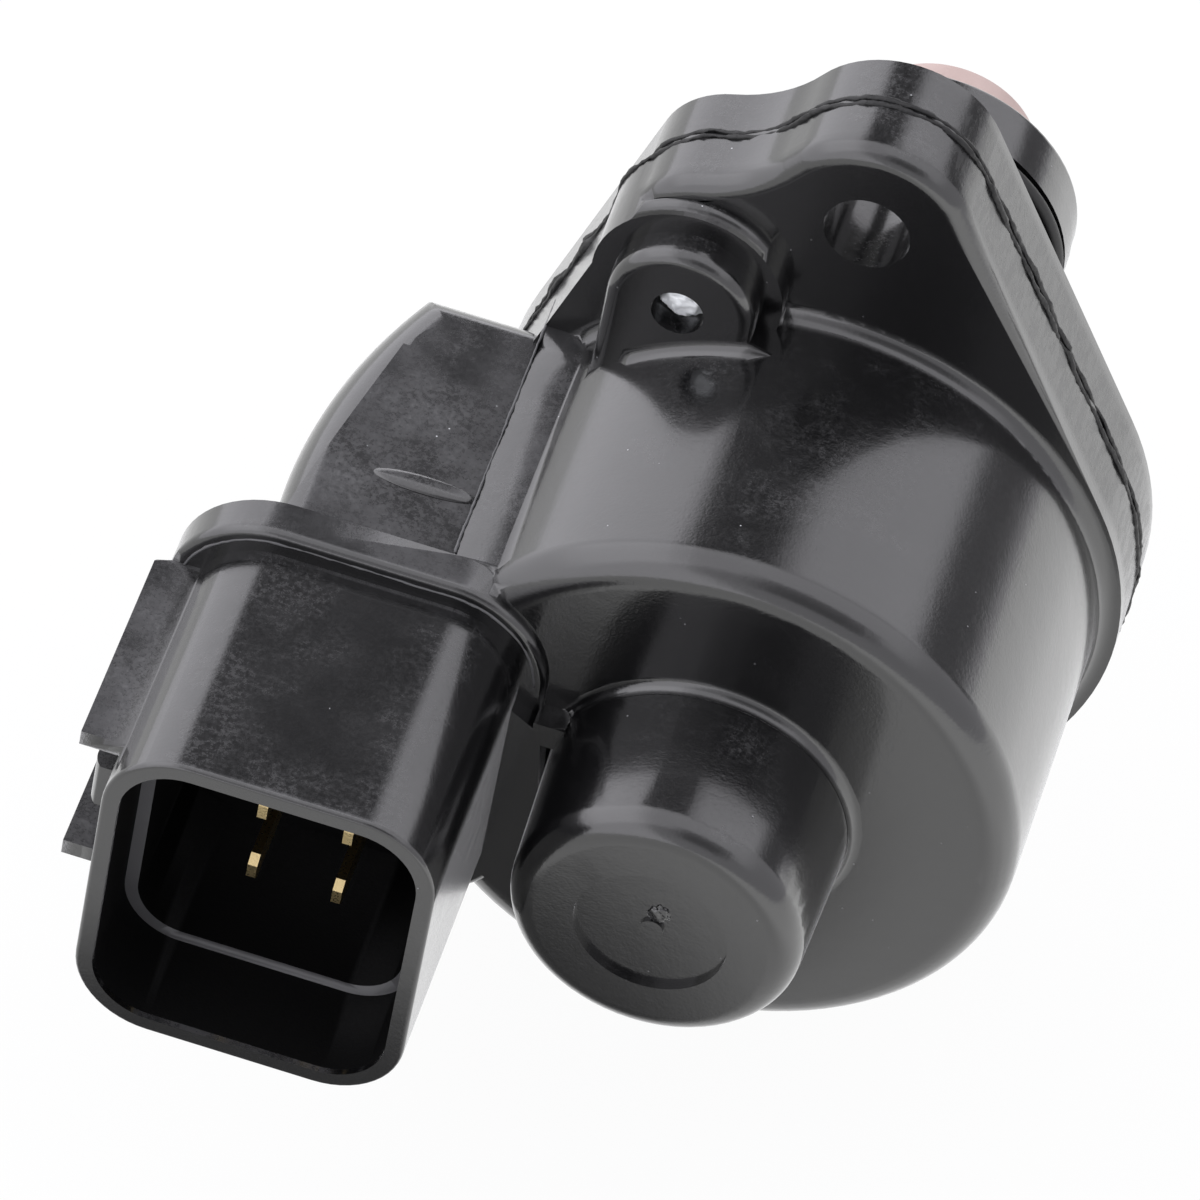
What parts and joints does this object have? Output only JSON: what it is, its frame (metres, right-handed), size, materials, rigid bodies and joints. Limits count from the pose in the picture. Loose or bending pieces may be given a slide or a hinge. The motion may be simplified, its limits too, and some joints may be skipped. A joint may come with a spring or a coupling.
{
  "type": "idle air control valve",
  "caption": "Stepper motor valve with a round body, two-eared flange, plug socket at its side and a sliding pintle in its nose.",
  "frame": {"origin": "centre of the mounting face of the flange, on the valve axis", "axes": "+Y along the valve axis towards the nose and the pintle, +Z towards the upper bolt ear, -X towards the plug socket"},
  "size_m": [0.0604, 0.0893, 0.074],
  "materials": {
    "housing_plastic": "black glass-filled plastic, glossy, with fine mottling, dust and light scuffs",
    "cover_plastic": "black glass-filled plastic, glossy",
    "zinc": "bright zinc plating",
    "seal_rubber": "black rubber",
    "stator_steel": "plated sheet steel",
    "bobbin_plastic": "natural coloured plastic",
    "copper_wire": "enamelled copper wire",
    "terminal_brass": "bright yellow plated blades",
    "bush_bronze": "bronze",
    "bearing_steel": "ground bearing steel",
    "magnet": "dark grey plastic-bonded ferrite",
    "shaft_steel": "stainless steel",
    "pintle_resin": "pale pinkish brown resin"
  },
  "bodies": {
    "stator": {"motor_housing": "housing_plastic", "valve_cover": "cover_plastic", "cover_screw": "zinc", "seal_ring": "seal_rubber", "stator_cup_front_outer": "stator_steel", "stator_cup_front_inner": "stator_steel", "stator_cup_rear_inner": "stator_steel", "stator_cup_rear_outer": "stator_steel", "coil_bobbin_front": "bobbin_plastic", "coil_bobbin_rear": "bobbin_plastic", "winding_front": "copper_wire", "winding_rear": "copper_wire", "terminal_1": "terminal_brass", "terminal_2": "terminal_brass", "terminal_3": "terminal_brass", "terminal_4": "terminal_brass", "terminal_5": "terminal_brass", "terminal_6": "terminal_brass", "front_bush": "bush_bronze", "bearing_outer_ring": "bearing_steel", "bearing_balls": "bearing_steel", "shaft_guide": "bobbin_plastic", "shaft_seal": "seal_rubber", "seal_washer": "shaft_steel", "pintle_spring": "shaft_steel"},
    "rotor": {"rotor_magnet": "magnet", "rotor_hub": "bobbin_plastic", "rotor_nut": "bush_bronze", "bearing_inner_ring": "bearing_steel"},
    "pintle": {"lead_screw": "shaft_steel", "pintle_head": "pintle_resin"}
  },
  "joints": [
    {"name": "rotor_spin", "type": "hinge", "parent": "stator", "child": "rotor", "pos_m": [0, 0, 0], "axis": [0, 1, 0], "range_deg": [-720, 540]},
    {"name": "pintle_slide", "type": "slide", "parent": "stator", "child": "pintle", "axis": [0, 1, 0], "range_m": [-0.003, 0.004], "deforming": ["pintle_spring"]}
  ],
  "couplings": [
    {"joint": "pintle_slide", "follows": "rotor_spin", "m_per_rad": -0.0003183}
  ]
}
